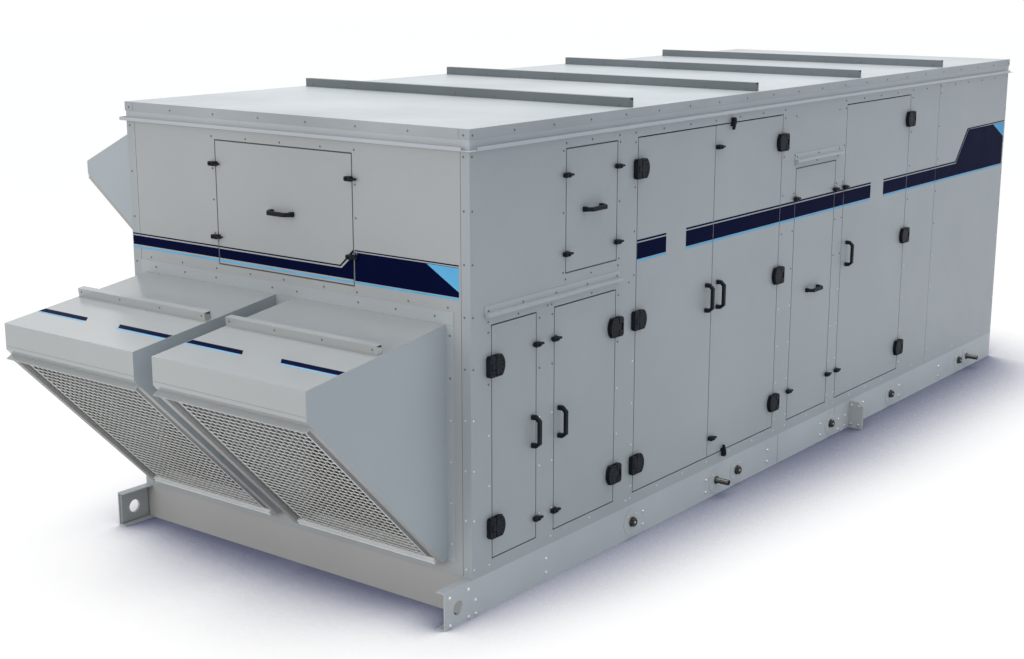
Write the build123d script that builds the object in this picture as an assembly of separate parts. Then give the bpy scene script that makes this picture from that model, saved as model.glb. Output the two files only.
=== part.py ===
"""Packaged outdoor air unit: an insulated panel cabinet on a channel base.

The frame has +X from the intake end to the rear end, -Y on the door side and +Z up.
Its origin is on the floor, at the centre of the cabinet's footprint.
Lengths are in millimetres.
"""
import os
from math import atan2, degrees, hypot

from build123d import *

# Cabinet
length = 6713
width = 2438
height = 2400
wall = 50
panel_seam = 4
floor_panel = 48

# Base frame
rail_depth = 195
rail_flange = 55
rail_steel = 6
rail_joints = (3111, 3920)
cross_member_places = (607, 1527, 2216, 2973, 3704, 4339, 4955, 5670)
sill_plate = 10

# Lifting lugs
lug_reach = 210
lug_hole_radius = 37.5
lug_hole_from_end = 107
lug_hole_height = 89
doubler_thickness = 10
doubler_start = 12
doubler_margin = 4
side_lug_place = 4134
side_lug_reach = 106
side_lug_height = 187
side_lug_thickness = 12
side_lug_corner = (34, 27)

# Roof
cap_height = 50
cap_overhang = 4
deck_height = 52
gutter_reach = 27
gutter_height = 18
gutter_sheet = 3
gutter_notch = 30
roof_rib_places = (1385, 2730, 4110, 5460)
roof_rib_margin = 30
roof_rib_height = 50
rib_width = 40
rib_sheet = 3
rib_end_drop = 17

# Seams of the doors and the door-side panels, from the intake end
low_door_seams = (159, 518, 670, 1221)
pair_door_seams = (1416, 2219.5, 3018)
tall_panel_seams = (3214, 3757)
rear_door_seams = (3893, 4884)
upper_panel_seams = (764, 1221)
service_seam = 5387

# Levels of the doors and panels; drops are below the wall top or the tall door top
door_sill = 266
low_door_top = 1450
tall_door_drop = 57
upper_panel_bottom = 1611
upper_panel_grip_drop = 6
tall_panel_drop = 348
tall_panel_grip = 1090
end_panel_width = 984
end_panel_offset = 17
end_panel_above_flashing = 48
end_panel_drop = 62
end_panel_grip_drop = 10.5

# Door hardware: heights, and distances in from a seam or an edge
low_hinges = (430, 1250)
top_hinge_drop = 166
low_latches = (375, 1291)
pair_latch_margins = (113, 125)
rear_latch_margins = (195, 536)
bolt_latch_from_meeting = 172.5
low_grip = 843
tall_grip = 1250
handle_insets = (31, 42, 64.5, 62.5, 72)
upper_latch_margins = (100, 130)
tall_latch_margins = (195, 188)
end_latch_margins = (147, 124)

# Leaves and the stops behind them: the gap is between leaf and frame
door_gap = 7
leaf_plate = 10
leaf_core_inset = 25
stop_width = 20
stop_setback = 6
stop_end_gap = 0.5
meeting_post_width = 40

# Hinges
hinge_height = 105
hinge_depth = 28
hinge_frame_reach = 43
hinge_ear_reach = 16
hinge_leaf_reach = 74
hinge_leaf_shoulder = 50
hinge_pin_back = 18
hinge_pin_out = 16
hinge_pin_radius = 5
hinge_knuckle_radius = 11
hinge_knuckle_height = 34
hinge_pin_clearance = 0.3
hinge_end_clearance = 1.5
hinge_swing_clearance = 7

# Latches
latch_foot = 14
latch_hover = 6
latch_depth = 24
latch_height = 24
latch_body = 44
latch_body_back = 33
latch_tip = 27
latch_tip_root = 14
latch_tip_height = 10

# Pull handles
handle_length = 170
handle_bar = 122
handle_projection = 55
handle_shoulder = 28
handle_grip = 17
handle_foot = 22
handle_corner = 8
handle_edge = 4
handle_width = 24

# Sheet metal
sheet = 3

# Drip caps over the low doors and the tall lift-off panel
low_drip_cap_ends = (105, 1255)
low_drip_cap_top = 1550
tall_drip_cap_ends = (3190, 3820)
tall_drip_cap_rise = 92
drip_cap_flange = 35
drip_cap_reach = 27
drip_cap_fall = 4
drip_cap_lip = 13

# Intake hoods
hood_near_margin = 151
hood_between = 137
hood_far_margin = 116
hood_top = 1462
hood_reach = 945
hood_fall = 125
hood_fascia = 140
hood_toe = 270
hood_return = (27, 30)
hood_lip = (32, 18)
hood_rib_out = 453
hood_rib_height = 45
hood_rib_margin = 14
hood_inlet_margin = 50
hood_inlet_sill = 320
hood_inlet_head = 1410

# Relief hood on the far side
relief_start = 100
relief_width = 1000
relief_drop = 36
relief_depth = 640
relief_reach = 500
relief_fall = 237
relief_fascia = 72
relief_return = (8, 8)
relief_lip = (8, 4)
relief_inlet_margin = 50
relief_inlet_above_toe = 30
relief_inlet_below_top = 52
relief_panel_end = 1200
far_panel_count = 4

# Screens in the hoods
screen_frame_width = 42
screen_frame_depth = 22
screen_bar = 5
screen_pitch = 190
screen_stiles = 1

# Flashing round the intake hoods
flashing_width = 50
flashing_top = 1527
flashing_gap = 1

# Pipe fittings on the door-side rail
fitting_height = 94
fitting_plate_radius = 78
fitting_plate = 3
union_places = (1414, 2584, 3852, 4805, 6060)
union_across_flats = 45
union_depth = 24
union_bore = 12
union_socket = 18
stub_places = (2334, 6223)
stub_radius = 17
stub_bore = 13
stub_length = 90

# Derived levels and planes
intake_x = -length / 2
rear_x = length / 2
door_y = -width / 2
far_y = width / 2
wall_bottom = rail_depth + sill_plate
cap_bottom = height - cap_height
wall_top = cap_bottom - deck_height
half_gap = door_gap / 2
tall_door_top = wall_top - tall_door_drop
tall_panel_top = tall_door_top - tall_panel_drop
tall_drip_cap_top = tall_panel_top + tall_drip_cap_rise
end_panel_middle = width / 2 + end_panel_offset
hood_width = (width - hood_near_margin - hood_between - hood_far_margin) / 2
hood_starts = (hood_near_margin, hood_near_margin + hood_width + hood_between)
relief_top = wall_top - relief_drop
relief_toe = relief_top - relief_depth
relief_inlet_sill = relief_toe + relief_inlet_above_toe
relief_inlet_head = relief_top - relief_inlet_below_top

# Lift-off panels: seam lines left, right, bottom and top
upper_panel = (*upper_panel_seams, upper_panel_bottom, tall_door_top)
tall_panel = (*tall_panel_seams, door_sill, tall_panel_top)
end_panel = (end_panel_middle - end_panel_width / 2, end_panel_middle + end_panel_width / 2,
             flashing_top + end_panel_above_flashing, wall_top - end_panel_drop)


class Door:
    """A hinged door: its seam lines from the intake end, and its fittings."""

    def __init__(self, left, right, top, hinge_side, hinges, latches, handle_inset, grip):
        self.left = left
        self.right = right
        self.bottom = door_sill
        self.top = top
        self.hinge_side = hinge_side
        self.hinges = hinges
        self.latches = latches
        if hinge_side == "left":
            self.free_seam = right
            self.handle = right - handle_inset
        else:
            self.free_seam = left
            self.handle = left + handle_inset
        self.grip = grip


def between(bottom, top, margins):
    """Two heights, each one margin in from the bottom or the top."""
    return bottom + margins[0], top - margins[1]


tall_hinges = (*low_hinges, tall_door_top - top_hinge_drop)
pair_latches = between(door_sill, tall_door_top, pair_latch_margins)
rear_latches = between(door_sill, tall_door_top, rear_latch_margins)
meeting_line = pair_door_seams[1]

doors = [
    Door(*low_door_seams[:2], low_door_top, "left", low_hinges, low_latches,
         handle_insets[0], low_grip),
    Door(*low_door_seams[2:], low_door_top, "right", low_hinges, low_latches,
         handle_insets[1], low_grip),
    Door(*pair_door_seams[:2], tall_door_top, "left", tall_hinges, (),
         handle_insets[2], tall_grip),
    Door(*pair_door_seams[1:], tall_door_top, "right", tall_hinges, pair_latches,
         handle_insets[3], tall_grip),
    Door(*rear_door_seams, tall_door_top, "right", tall_hinges, rear_latches,
         handle_insets[4], tall_grip),
]


def block(x0, x1, y0, y1, z0, z1):
    """Box between two corners."""
    low = (Align.MIN, Align.MIN, Align.MIN)
    return Pos(x0, y0, z0) * Box(x1 - x0, y1 - y0, z1 - z0, align=low)


def prism_x(points, x0, x1):
    """Profile of (y, z) points, solid from x0 to x1."""
    face = make_face(Polyline(*[(x0, y, z) for y, z in points], close=True))
    return extrude(face, amount=x1 - x0, dir=(1, 0, 0))


def prism_y(points, y0, y1):
    """Profile of (x, z) points, solid from y0 to y1."""
    face = make_face(Polyline(*[(x, y0, z) for x, z in points], close=True))
    return extrude(face, amount=y1 - y0, dir=(0, 1, 0))


def rod_y(x, y0, y1, z, radius):
    """Round rod along Y."""
    middle = (y0 + y1) / 2
    return Pos(x, middle, z) * Rot(90, 0, 0) * Cylinder(radius, abs(y1 - y0))


def inner_line(points, thickness):
    """Line at one thickness to the right of a folded line, with mitred corners."""
    normals = []
    for (x0, z0), (x1, z1) in zip(points, points[1:]):
        run = hypot(x1 - x0, z1 - z0)
        normals.append(((z1 - z0) / run, -(x1 - x0) / run))
    corners = [normals[0]] + list(zip(normals, normals[1:])) + [normals[-1]]
    line = []
    for index, (x, z) in enumerate(points):
        if index in (0, len(points) - 1):
            nx, nz = corners[index]
            share = 1
        else:
            (ax, az), (bx, bz) = corners[index]
            nx, nz = ax + bx, az + bz
            share = 2 / (nx * nx + nz * nz)
        line.append((x + nx * thickness * share, z + nz * thickness * share))
    return line


def folded(points, thickness=sheet):
    """Closed outline of a sheet folded along a line."""
    return points + inner_line(points, thickness)[::-1]


def save(node, *pieces):
    """Write one node from all the solids of its pieces."""
    solids = [solid for piece in pieces for solid in piece.solids()]
    shape = solids[0] if len(solids) == 1 else Compound(solids)
    export_step(shape, f"parts/{node}.step")


def door_side(left, right, bottom, top, front=0, back=wall):
    """Slab in the door-side wall; left and right are from the intake end."""
    return block(intake_x + left, intake_x + right, door_y + front, door_y + back, bottom, top)


def far_side(left, right, bottom, top):
    """Slab in the far wall; left and right are from the intake end."""
    return block(intake_x + left, intake_x + right, far_y - wall, far_y, bottom, top)


def intake_side(near, far, bottom, top, front=0, back=wall):
    """Slab in the intake wall; near and far are from the door side."""
    return block(intake_x + front, intake_x + back, door_y + near, door_y + far, bottom, top)


# Base frame

def channel_profile(sign, origin):
    """Channel section of the rails: web at the origin, flanges towards sign."""
    tip = origin + sign * rail_flange
    web = origin + sign * rail_steel
    low, high = rail_steel, rail_depth - rail_steel
    return [(origin, 0), (tip, 0), (tip, low), (web, low),
            (web, high), (tip, high), (tip, rail_depth), (origin, rail_depth)]


def lifting_hole(sign):
    """Cutter for the hole in a front lug."""
    side = sign * width / 2
    return rod_y(intake_x - lug_hole_from_end, side - 100, side + 100, lug_hole_height, lug_hole_radius)


def side_rail(sign):
    """Rail in three lengths; sign is -1 on the door side and 1 on the far side."""
    stops = [-lug_reach] + list(rail_joints) + [length]
    lengths = []
    for start, end in zip(stops, stops[1:]):
        tail = end if end == length else end - panel_seam
        profile = channel_profile(-sign, sign * width / 2)
        lengths.append(prism_x(profile, intake_x + start, intake_x + tail))
    lengths[0] -= lifting_hole(sign)
    return lengths


def coped_channel(web_x, sign):
    """Channel across the unit, coped to sit inside the side rails."""
    half = width / 2 - rail_steel
    member = prism_y(channel_profile(sign, web_x), -half, half)
    notch_reach = rail_flange - rail_steel
    for end in (-1, 1):
        inner = end * (half - notch_reach)
        y0, y1 = sorted((inner, end * half))
        for z0, z1 in ((0, rail_steel), (rail_depth - rail_steel, rail_depth)):
            member -= block(web_x - length, web_x + length, y0, y1, z0, z1)
    return member


def doubler(sign):
    """Plate behind the web of a front lug."""
    outer = sign * (width / 2 - rail_steel)
    y0, y1 = sorted((outer, outer - sign * doubler_thickness))
    edge = rail_steel + doubler_margin
    plate = block(intake_x - lug_reach + doubler_start, intake_x - doubler_start,
                  y0, y1, edge, rail_depth - edge)
    return plate - lifting_hole(sign)


def side_lug(sign):
    """Plate that stands out from a rail, with its outer top corner cut."""
    root = sign * width / 2
    tip = root + sign * side_lug_reach
    cut_y, cut_z = side_lug_corner
    outline = [(root, 0), (tip, 0), (tip, side_lug_height - cut_z),
               (tip - sign * cut_y, side_lug_height), (root, side_lug_height)]
    place = intake_x + side_lug_place
    return prism_x(outline, place, place + side_lug_thickness)


def make_base():
    save("base_rail_door_side", *side_rail(-1))
    save("base_rail_far_side", *side_rail(1))
    save("base_end_rails", coped_channel(intake_x, 1), coped_channel(rear_x, -1))
    members = [coped_channel(intake_x + place, 1) for place in cross_member_places]
    members.append(coped_channel(-rail_flange / 2, 1))
    save("cross_members", *members)
    save("lifting_doublers", doubler(-1), doubler(1))
    save("side_lugs", side_lug(-1), side_lug(1))
    sill = block(intake_x, rear_x, door_y, far_y, rail_depth, wall_bottom)
    floor = block(intake_x + wall, rear_x - wall, door_y + wall, far_y - wall,
                  wall_bottom, wall_bottom + floor_panel)
    save("floor_panel", sill + floor)


# Walls

def make_corner_posts():
    posts = []
    for x in (intake_x, rear_x - wall):
        for y in (door_y, far_y - wall):
            posts.append(block(x, x + wall, y, y + wall, wall_bottom, wall_top))
    save("corner_posts", *posts)


def make_door_side():
    d1, d2, d3, d4, d5 = doors
    upper_left, upper_right, upper_bottom, upper_top = upper_panel
    tall_left, tall_right, tall_bottom, tall_top = tall_panel
    low_head = low_door_top + half_gap
    tall_head = tall_door_top + half_gap
    sill_top = door_sill - half_gap
    bays = [(d1.left, d1.right), (d2.left, d2.right), (d3.left, d4.right),
            (tall_left, tall_right), (d5.left, d5.right)]
    openings = [(left - half_gap, right + half_gap) for left, right in bays]

    posts = [
        door_side(wall, openings[0][0], wall_bottom, wall_top),
        door_side(openings[0][1], openings[1][0], wall_bottom, low_head),
        door_side(openings[1][1], openings[2][0], wall_bottom, wall_top),
        door_side(openings[2][1], openings[3][0], wall_bottom, wall_top),
        door_side(openings[3][1], openings[4][0], wall_bottom, wall_top),
    ]
    save("door_side_posts", *posts)

    rails = [door_side(left, right, wall_bottom, sill_top) for left, right in openings]
    rails.append(door_side(openings[0][0], openings[1][1], low_head, upper_bottom - half_gap))
    rails.append(door_side(upper_left - half_gap, openings[1][1], upper_top + half_gap, wall_top))
    rails.append(door_side(*openings[2], tall_head, wall_top))
    rails.append(door_side(*openings[3], tall_top + half_gap, wall_top))
    rails.append(door_side(*openings[4], tall_head, wall_top))
    save("door_side_rails", *rails)

    panels = [
        door_side(openings[0][0], upper_left - half_gap, upper_bottom - half_gap, wall_top),
        door_side(openings[4][1], service_seam, wall_bottom, wall_top),
        door_side(service_seam + panel_seam, length - wall, wall_bottom, wall_top),
    ]
    save("door_side_panels", *panels)


def stop_ring(left, right, bottom, top, slab, front, middle=None):
    """Bars round an opening that a leaf closes against; slab places each one."""
    low = bottom - half_gap
    high = top + half_gap
    start = left - half_gap
    end = right + half_gap
    bars = [
        slab(start, start + stop_width, low, high, front, wall),
        slab(end - stop_width, end, low, high, front, wall),
    ]
    spans = [(start + stop_width, end - stop_width)]
    if middle is not None:
        post = (middle - meeting_post_width / 2, middle + meeting_post_width / 2)
        bars.append(slab(*post, low, high, front, wall))
        spans = [(start + stop_width, post[0]), (post[1], end - stop_width)]
    for span_start, span_end in spans:
        ends = (span_start + stop_end_gap, span_end - stop_end_gap)
        bars.append(slab(*ends, low, low + stop_width, front, wall))
        bars.append(slab(*ends, high - stop_width, high, front, wall))
    return bars


def make_stops():
    d1, d2, d3, d4, d5 = doors
    front = leaf_plate + stop_setback
    bars = []
    for door in (d1, d2, d5):
        bars += stop_ring(door.left, door.right, door.bottom, door.top, door_side, front)
    bars += stop_ring(d3.left, d4.right, door_sill, tall_door_top, door_side, front, meeting_line)
    save("door_stops", *bars)
    ledges = stop_ring(*upper_panel, door_side, leaf_plate)
    ledges += stop_ring(*tall_panel, door_side, leaf_plate)
    ledges += stop_ring(*end_panel, intake_side, leaf_plate)
    save("panel_ledges", *ledges)


def leaf(left, right, bottom, top, slab):
    """Face plate with an insulated core behind it."""
    edge = half_gap
    plate = slab(left + edge, right - edge, bottom + edge, top - edge, 0, leaf_plate)
    edge += leaf_core_inset
    core = slab(left + edge, right - edge, bottom + edge, top - edge, leaf_plate, wall)
    return plate + core


def make_intake_wall():
    near, far, bottom, top = end_panel
    inlets = [(start + hood_inlet_margin, start + hood_width - hood_inlet_margin)
              for start in hood_starts]
    inner = width - wall
    rails = [
        intake_side(wall, inner, wall_bottom, hood_inlet_sill),
        intake_side(wall, inner, hood_inlet_head, bottom - half_gap),
        intake_side(wall, inner, top + half_gap, wall_top),
    ]
    save("intake_wall_rails", *rails)
    edges = [wall, inlets[0][0], inlets[0][1], inlets[1][0], inlets[1][1], inner]
    piers = [intake_side(start, end, hood_inlet_sill, hood_inlet_head)
             for start, end in zip(edges[0::2], edges[1::2])]
    low, high = bottom - half_gap, top + half_gap
    piers.append(intake_side(wall, near - half_gap, low, high))
    piers.append(intake_side(far + half_gap, inner, low, high))
    save("intake_wall_piers", *piers)


def make_far_wall():
    panels = [
        far_side(wall, relief_panel_end, wall_bottom, relief_inlet_sill),
        far_side(wall, relief_panel_end, relief_inlet_head, wall_top),
    ]
    run = (length - wall - relief_panel_end) / far_panel_count
    for index in range(far_panel_count):
        start = relief_panel_end + index * run + panel_seam
        end = relief_panel_end + (index + 1) * run
        panels.append(far_side(start, end, wall_bottom, wall_top))
    save("far_wall_panels", *panels)
    opening_start = relief_start + relief_inlet_margin
    opening_end = relief_start + relief_width - relief_inlet_margin
    piers = [
        far_side(wall, opening_start, relief_inlet_sill, relief_inlet_head),
        far_side(opening_end, relief_panel_end, relief_inlet_sill, relief_inlet_head),
    ]
    save("far_wall_piers", *piers)


def make_rear_wall():
    inner = width / 2 - wall
    half_seam = panel_seam / 2
    panels = [
        block(rear_x - wall, rear_x, -inner, -half_seam, wall_bottom, wall_top),
        block(rear_x - wall, rear_x, half_seam, inner, wall_bottom, wall_top),
    ]
    save("rear_wall_panels", *panels)


# Roof

def ring(outside, inside, bottom, top):
    """Frame round the cabinet between two distances out from its walls."""
    frame = block(intake_x - outside, rear_x + outside, door_y - outside, far_y + outside, bottom, top)
    return frame - block(intake_x - inside, rear_x + inside, door_y - inside, far_y + inside, bottom, top)


def make_roof():
    deck = block(intake_x, rear_x, door_y, far_y, wall_top, cap_bottom)
    base = wall_top + gutter_sheet
    upstand = ring(gutter_reach, gutter_reach - gutter_sheet, base, wall_top + gutter_height)
    for x in (intake_x, rear_x):
        upstand -= Pos(x, door_y, base) * Box(2 * gutter_notch, 2 * gutter_notch, 2 * gutter_height)
    save("roof_deck", deck + ring(gutter_reach, 0, wall_top, base) + upstand)
    over = cap_overhang
    cap = block(intake_x - over, rear_x + over, door_y - over, far_y + over, cap_bottom, height)
    save("roof_cap", cap)
    ribs = [Pos(intake_x + place, door_y + roof_rib_margin, height)
            * seam_rib(width - 2 * roof_rib_margin, roof_rib_height) for place in roof_rib_places]
    save("roof_ribs", *ribs)


def seam_rib(span, depth):
    """Inverted channel along Y over a sheet joint, with part-closed ends."""
    rib = block(-rib_width / 2, rib_width / 2, 0, span, 0, depth)
    half_inside = rib_width / 2 - rib_sheet
    rib -= block(-half_inside, half_inside, 0, span, 0, depth - rib_sheet)
    closure = [(-half_inside, 0), (half_inside, 0), (half_inside, depth - rib_end_drop),
               (-half_inside, depth - rib_sheet)]
    rib += prism_y(closure, 0, rib_sheet)
    rib += prism_y(closure, span - rib_sheet, span)
    return rib


# Hoods, built with the wall at x = 0, outwards to -x and the span along +y

def hood_lines(top, reach, fall, fascia, toe, turn, lip):
    """Outer line of the cover and the cheek outline below it."""
    turn_x, turn_z = turn
    front_bottom = top - fall - fascia
    outer = [(0, top), (-reach, top - fall), (-reach, front_bottom),
             (-reach + turn_x, front_bottom - turn_z)]
    inside = inner_line(outer, -sheet)
    lip_x, lip_z = lip
    outer.append((-reach + turn_x - lip_x, front_bottom - turn_z - lip_z))
    slope_top = inside[3]
    return outer, inside, slope_top


def make_hood(span, top, reach, fall, fascia, toe, turn, lip):
    """Cover, two cheeks and the sloping screen of one hood."""
    outer, inside, slope_top = hood_lines(top, reach, fall, fascia, toe, turn, lip)
    cover = prism_y(folded(outer, -sheet), 0, span)
    toe_x = -screen_frame_width
    outline = inside + [(toe_x, toe), (0, toe)]
    cheeks = [prism_y(outline, 0, sheet), prism_y(outline, span - sheet, span)]
    behind_wall = block(0, reach, -sheet, span + sheet, toe, top)
    cover -= behind_wall
    cheeks = [cheek - behind_wall for cheek in cheeks]
    run_x = toe_x - slope_top[0]
    run_z = toe - slope_top[1]
    slope = hypot(run_x, run_z)
    tilt = degrees(atan2(-run_z, run_x))
    screen = make_screen(slope, span)
    screen = Pos(slope_top[0], 0, slope_top[1]) * Rot(0, tilt, 0) * screen
    return cover, cheeks, screen


def make_screen(slope, span):
    """Framed screen below the plane z = 0, from x = 0 to the slope's length."""
    start = 2 * sheet
    frame = block(start, slope, 0, span, -screen_frame_depth, 0)
    x0, x1 = start + screen_frame_width, slope - screen_frame_width
    y0, y1 = screen_frame_width, span - screen_frame_width
    frame -= block(x0, x1, y0, y1, -screen_frame_depth, 0)
    middle = -screen_frame_depth / 2
    count = int((x1 - x0) / screen_pitch)
    pitch = (x1 - x0) / count
    for index in range(1, count):
        x = x0 + index * pitch
        frame += block(x - screen_bar / 2, x + screen_bar / 2, y0, y1,
                       middle - screen_bar / 2, middle + screen_bar / 2)
    stile_pitch = (y1 - y0) / (screen_stiles + 1)
    for index in range(1, screen_stiles + 1):
        y = y0 + index * stile_pitch
        frame += block(x0, x1, y - screen_bar / 2, y + screen_bar / 2,
                       middle - screen_bar / 2, middle + screen_bar / 2)
    return frame


def make_hoods():
    ribs = []
    for number, start in enumerate(hood_starts, 1):
        place = Pos(intake_x, door_y + start, 0)
        cover, cheeks, screen = make_hood(hood_width, hood_top, hood_reach, hood_fall, hood_fascia,
                                          hood_toe, hood_return, hood_lip)
        save(f"intake_hood_{number}_cover", place * cover)
        save(f"intake_hood_{number}_cheeks", *[place * cheek for cheek in cheeks])
        save(f"intake_hood_{number}_screen", place * screen)
        slope = hood_fall / hood_reach
        rib_length = hood_width - hood_rib_margin
        rib = seam_rib(rib_length, hood_rib_height)
        tilt = degrees(atan2(hood_fall, hood_reach))
        seat = Pos(-hood_rib_out, hood_rib_margin, hood_top - slope * hood_rib_out)
        ribs.append(place * seat * Rot(0, -tilt, 0) * rib)
    save("intake_hood_ribs", *ribs)

    place = Pos(intake_x + relief_start, far_y, 0) * Rot(0, 0, -90)
    cover, cheeks, screen = make_hood(relief_width, relief_top, relief_reach, relief_fall,
                                      relief_fascia, relief_toe, relief_return, relief_lip)
    save("relief_hood_cover", place * cover)
    save("relief_hood_cheeks", *[place * cheek for cheek in cheeks])
    save("relief_hood_screen", place * screen)


def make_flashings():
    first, second = hood_starts
    ends = [first - flashing_width, first, first + hood_width, second,
            second + hood_width, second + hood_width + flashing_width]
    strips = [intake_side(ends[0], ends[-1], hood_top, flashing_top, -sheet, 0)]
    for near, far in zip(ends[0::2], ends[1::2]):
        strips.append(intake_side(near, far, hood_toe, hood_top - flashing_gap, -sheet, 0))
    save("hood_flashings", *strips)


def make_drip_caps():
    caps = []
    for (left, right), top in ((low_drip_cap_ends, low_drip_cap_top),
                               (tall_drip_cap_ends, tall_drip_cap_top)):
        shelf = top - drip_cap_flange
        edge = shelf - drip_cap_fall
        line = [(door_y - sheet, top), (door_y - sheet, shelf),
                (door_y - drip_cap_reach, edge), (door_y - drip_cap_reach, edge - drip_cap_lip)]
        start, end = intake_x + left, intake_x + right
        cap = prism_x(folded(line, -sheet), start, end)
        closure = line[1:] + [(door_y - sheet, edge - drip_cap_lip)]
        cap += prism_x(closure, start, start + sheet)
        cap += prism_x(closure, end - sheet, end)
        caps.append(cap)
    save("door_drip_caps", *caps)


# Pipe fittings

def make_fittings():
    plates = []
    for place in union_places + stub_places:
        x = intake_x + place
        plates.append(rod_y(x, door_y - fitting_plate, door_y, fitting_height, fitting_plate_radius))
    save("fitting_plates", *plates)
    unions = []
    face = door_y - fitting_plate
    for place in union_places:
        x = intake_x + place
        end = Plane((x, face, fitting_height), x_dir=(1, 0, 0), z_dir=(0, -1, 0))
        hexagon = end * RegularPolygon(union_across_flats / 2, 6, major_radius=False)
        body = extrude(hexagon, amount=union_depth)
        mouth = face - union_depth
        socket = rod_y(x, mouth, mouth + union_socket, fitting_height, union_bore)
        unions.append(body - socket)
    save("pipe_unions", *unions)
    stubs = []
    for place in stub_places:
        x = intake_x + place
        pipe = rod_y(x, face - stub_length, face, fitting_height, stub_radius)
        pipe -= rod_y(x, face - stub_length, face, fitting_height, stub_bore)
        stubs.append(pipe)
    save("pipe_stubs", *stubs)


# Hinges, built with the seam at x = 0, the door towards +x and outwards to -y

def hinge_pin(radius, span):
    """Round along the hinge line, centred on the hinge's height."""
    return Pos(-hinge_pin_back, -hinge_pin_out, 0) * Cylinder(radius, span)


def hinge_frame_half():
    """Block with two ears that hold the pin, and a notch for the door's knuckle."""
    half = hinge_height / 2
    ear_tip = hinge_ear_reach - hinge_pin_back
    body = block(-hinge_frame_reach, ear_tip, -hinge_depth, 0, -half, half)
    notch_depth = hinge_knuckle_radius + hinge_swing_clearance
    notch_half = hinge_knuckle_height / 2 + hinge_end_clearance
    body -= block(-hinge_pin_back - notch_depth, ear_tip, -hinge_depth, 0, -notch_half, notch_half)
    return body + hinge_pin(hinge_pin_radius, 2 * notch_half)


def hinge_door_half():
    """D-shaped plate on the door with a knuckle that reaches round the pin."""
    half = hinge_height / 2
    shoulder = Line((half_gap, -half), (hinge_leaf_shoulder, -half))
    nose = ThreePointArc((hinge_leaf_shoulder, -half), (hinge_leaf_reach, 0), (hinge_leaf_shoulder, half))
    back = Polyline((hinge_leaf_shoulder, half), (half_gap, half), (half_gap, -half))
    outline = Plane.XZ * make_face([shoulder, nose, back])
    plate = extrude(outline, amount=hinge_depth, dir=(0, -1, 0))
    knuckle_half = hinge_knuckle_height / 2
    bridge = block(-hinge_pin_back, half_gap, -hinge_pin_out - hinge_knuckle_radius,
                   -hinge_pin_out + hinge_knuckle_radius, -knuckle_half, knuckle_half)
    knuckle = hinge_pin(hinge_knuckle_radius, hinge_knuckle_height)
    bore = hinge_pin(hinge_pin_radius + hinge_pin_clearance, hinge_knuckle_height)
    return plate + bridge + knuckle - bore


def on_seam(piece, door, z):
    """Place a hinge half on a door's hinge seam, mirrored on a right-hand door."""
    if door.hinge_side == "right":
        return Pos(intake_x + door.right, door_y, z) * mirror(piece, Plane.YZ)
    return Pos(intake_x + door.left, door_y, z) * piece


# Latches and handles

def latch(foot_start, foot_end):
    """Wing latch with its body over a seam at x = 0 and its tip to +x."""
    half = latch_height / 2
    front = -latch_hover - latch_depth
    body_end = latch_body - latch_body_back
    body = block(-latch_body_back, body_end, front, -latch_hover, -half, half)
    root_half = latch_tip_root / 2
    tip_half = latch_tip_height / 2
    tip_end = body_end + latch_tip
    tip = [(body_end, root_half), (tip_end, tip_half), (tip_end, -tip_half), (body_end, -root_half)]
    body += prism_y(tip, front, -latch_hover)
    foot = block(foot_start, foot_end, -latch_hover, 0, -half, half)
    return body + foot


def seam_latch(door_on_left):
    """Latch across a door's free seam, with its foot on the door."""
    if door_on_left:
        return latch(-half_gap - latch_foot, -half_gap)
    return latch(half_gap, half_gap + latch_foot)


def handle():
    """Upright bridge handle against the plane y = 0."""
    ends = handle_length / 2
    bar = handle_bar / 2
    out = -handle_projection
    inner_bar = handle_projection - handle_grip
    feet = ends - handle_foot
    outline = [(0, -ends), (-handle_shoulder, -ends), (out, -bar), (out, bar),
               (-handle_shoulder, ends), (0, ends),
               (0, feet), (-handle_shoulder, feet), (-inner_bar, bar - handle_corner),
               (-inner_bar, -bar + handle_corner), (-handle_shoulder, -feet), (0, -feet)]
    grip = prism_x(outline, -handle_width / 2, handle_width / 2)
    long_edges = grip.edges().filter_by(Axis.Z).group_by(Axis.Y)[0]
    return chamfer(long_edges, handle_edge)


def level_handle():
    """Bridge handle turned to lie level."""
    return Rot(0, 90, 0) * handle()


def door_latches(door):
    """All latches that one door carries."""
    x = intake_x + door.free_seam
    if door is doors[3]:
        shift = latch_body_back + half_gap
        pieces = [Pos(x + shift, door_y, z) * latch(-latch_body_back, 0) for z in door.latches]
        for turn, z in ((90, door.top), (-90, door.bottom)):
            place = Pos(x + bolt_latch_from_meeting, door_y, z)
            pieces.append(place * Rot(0, turn, 0) * seam_latch(False))
        return pieces
    return [Pos(x, door_y, z) * seam_latch(door.hinge_side == "left") for z in door.latches]


def make_doors():
    fixed = []
    for number, door in enumerate(doors, 1):
        save(f"door_{number}", leaf(door.left, door.right, door.bottom, door.top, door_side))
        save(f"door_{number}_hinges", *[on_seam(hinge_door_half(), door, z) for z in door.hinges])
        fixed += [on_seam(hinge_frame_half(), door, z) for z in door.hinges]
        grip = Pos(intake_x + door.handle, door_y, door.grip) * handle()
        save(f"door_{number}_fittings", grip, *door_latches(door))
    save("hinge_frame_halves", *fixed)


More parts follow.
